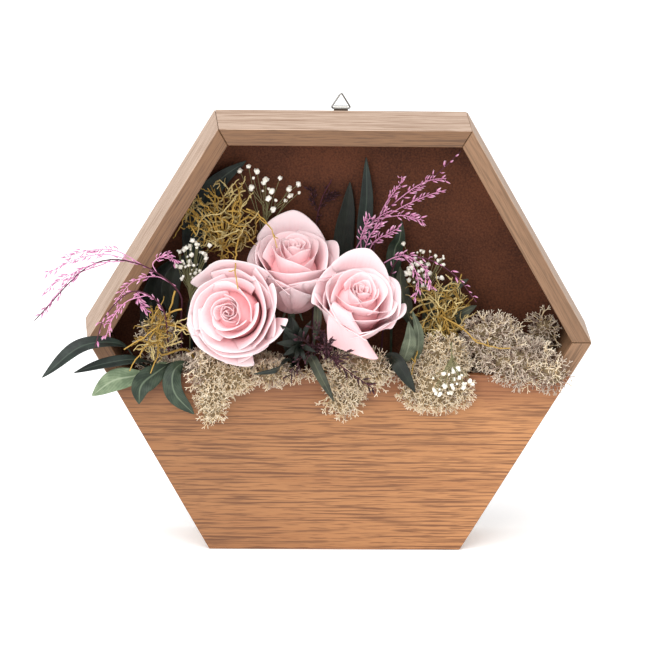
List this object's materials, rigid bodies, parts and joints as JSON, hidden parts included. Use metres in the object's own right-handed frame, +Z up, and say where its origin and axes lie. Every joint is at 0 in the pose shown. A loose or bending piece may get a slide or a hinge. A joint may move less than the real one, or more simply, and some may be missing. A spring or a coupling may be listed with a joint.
{
  "type": "preserved flower frame",
  "caption": "Hexagonal oak box frame standing on one edge, its lower half a pocket filled with preserved roses, leaves, grasses and reindeer moss, with a hanging ring.",
  "frame": {"origin": "middle of the bottom board's underside, half way through the box's depth", "axes": "+Z up, -Y towards the open front, +X to the right of someone who looks at the front"},
  "size_m": [0.332, 0.0859, 0.2701],
  "materials": {
    "oak": "fine sanded, unvarnished",
    "hardboard": "matt, dark brown",
    "foam": "matt",
    "steel": "bright wire and strip",
    "rose": "soft petals",
    "moss": "fibrous",
    "leaf": "waxy, dark green",
    "leaf_pale": "waxy, pale green",
    "twig": "gold coloured, wiry",
    "flower_white": "papery",
    "grass_pink": "dyed, dry",
    "fern": "dark purple, feathery"
  },
  "bodies": {
    "frame": {"board_top": "oak", "board_upper_left": "oak", "board_upper_right": "oak", "board_lower_left": "oak", "board_lower_right": "oak", "board_bottom": "oak", "front_panel": "oak", "back_panel": "hardboard", "foam_block": "foam", "hanger_strap": "steel", "hanger_screw": "steel", "rose_left": "rose", "rose_centre": "rose", "rose_right": "rose", "moss_left_back": "moss", "moss_left_front": "moss", "moss_hanging": "moss", "moss_under_rose": "moss", "moss_centre": "moss", "moss_front_right": "moss", "moss_right": "moss", "moss_right_back": "moss", "leaf_far_left": "leaf", "leaf_left_low": "leaf", "leaf_pale": "leaf_pale", "leaf_drooping": "leaf", "leaf_long": "leaf", "leaf_upper_left": "leaf", "leaf_tall": "leaf", "leaf_behind": "leaf", "leaf_left_inside": "leaf", "leaf_right_inside": "leaf", "leaf_grey_front": "leaf", "leaf_grey_back": "leaf", "leaf_narrow": "leaf", "leaf_under_left": "leaf", "leaf_dark_right": "leaf", "leaf_centre_dark": "leaf", "leaf_round": "leaf_pale", "twigs_upper_left": "twig", "twigs_lower_left": "twig", "twigs_right": "twig", "breath_upper": "flower_white", "breath_left": "flower_white", "breath_right": "flower_white", "breath_low": "flower_white", "grass_left_high": "grass_pink", "grass_left_low": "grass_pink", "grass_right_high": "grass_pink", "grass_right_low": "grass_pink", "fern_back": "fern", "fern_front": "fern"},
    "ring": {"hanger_ring": "steel"}
  },
  "joints": [
    {"name": "ring_hinge", "type": "hinge", "parent": "frame", "child": "ring", "pos_m": [0, 0.024, 0.26071], "axis": [1, 0, 0], "range_deg": [-150, 85]}
  ]
}
